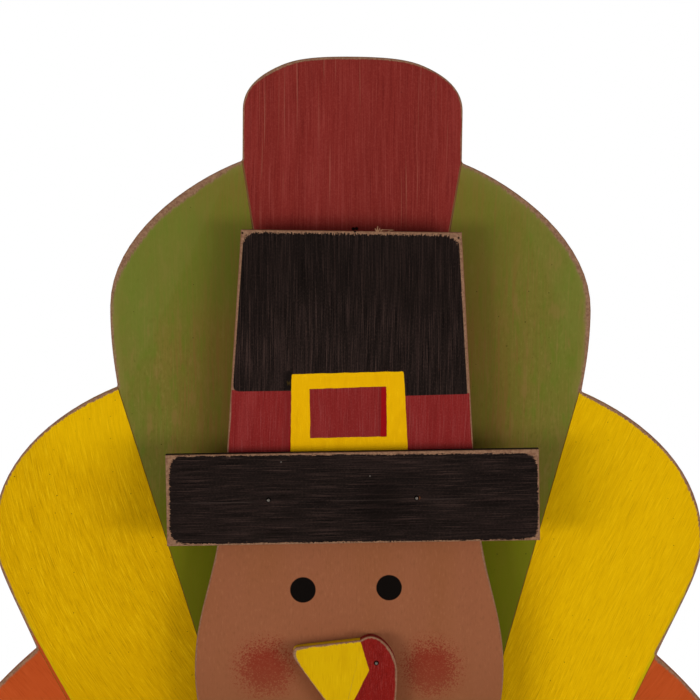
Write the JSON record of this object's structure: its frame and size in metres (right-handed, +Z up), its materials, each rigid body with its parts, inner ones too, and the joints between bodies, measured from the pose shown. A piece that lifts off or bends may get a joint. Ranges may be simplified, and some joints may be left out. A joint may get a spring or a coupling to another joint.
{
  "type": "thanksgiving turkey figure",
  "caption": "Standing turkey figure cut from painted boards: tail fan, hatted body, raised brim, beak and feet, with a folding easel leg behind.",
  "frame": {"origin": "middle of the ground that the figure covers, with the leg open", "axes": "+Z up, +X to the right seen from the front, +Y from the face towards the easel leg; the boards lean back 9 degrees"},
  "size_m": [0.4064, 0.168, 0.6035],
  "materials": {
    "feather_paint": "dry-brushed matt paint on fibreboard, edges sanded bare",
    "face_paint": "matt paint on fibreboard, edges sanded bare",
    "hat_paint": "dry-brushed black paint on fibreboard, edges sanded bare",
    "beak_paint": "matt paint on fibreboard, edges sanded bare",
    "foot_paint": "matt paint on fibreboard, edges sanded bare",
    "bare_fibreboard": "bare sanded fibreboard",
    "zinc_steel": "zinc plated",
    "brad_steel": "dull steel wire nail heads"
  },
  "bodies": {
    "figure": {"tail_fan": "feather_paint", "upper_spacer": "bare_fibreboard", "lower_spacer": "bare_fibreboard", "body_board": "face_paint", "hat_brim": "hat_paint", "beak_and_snood": "beak_paint", "left_foot": "foot_paint", "right_foot": "foot_paint", "spacer_screw_1": "zinc_steel", "spacer_screw_2": "zinc_steel", "spacer_screw_3": "zinc_steel", "spacer_screw_4": "zinc_steel", "brim_brad_1": "brad_steel", "brim_brad_2": "brad_steel", "beak_brad_1": "brad_steel", "beak_brad_2": "brad_steel", "foot_brad_1": "brad_steel", "foot_brad_2": "brad_steel", "foot_brad_3": "brad_steel", "foot_brad_4": "brad_steel", "hinge_fixed_leaf": "zinc_steel", "hinge_pin": "zinc_steel", "fixed_leaf_screw_1": "zinc_steel", "fixed_leaf_screw_2": "zinc_steel"},
    "leg": {"easel_leg": "bare_fibreboard", "hinge_moving_leaf": "zinc_steel", "moving_leaf_screw_1": "zinc_steel", "moving_leaf_screw_2": "zinc_steel"}
  },
  "joints": [
    {"name": "easel_hinge", "type": "hinge", "parent": "figure", "child": "leg", "pos_m": [0, 0.01412, 0.36701], "axis": [-1, 0, 0], "range_deg": [0, 18]}
  ]
}
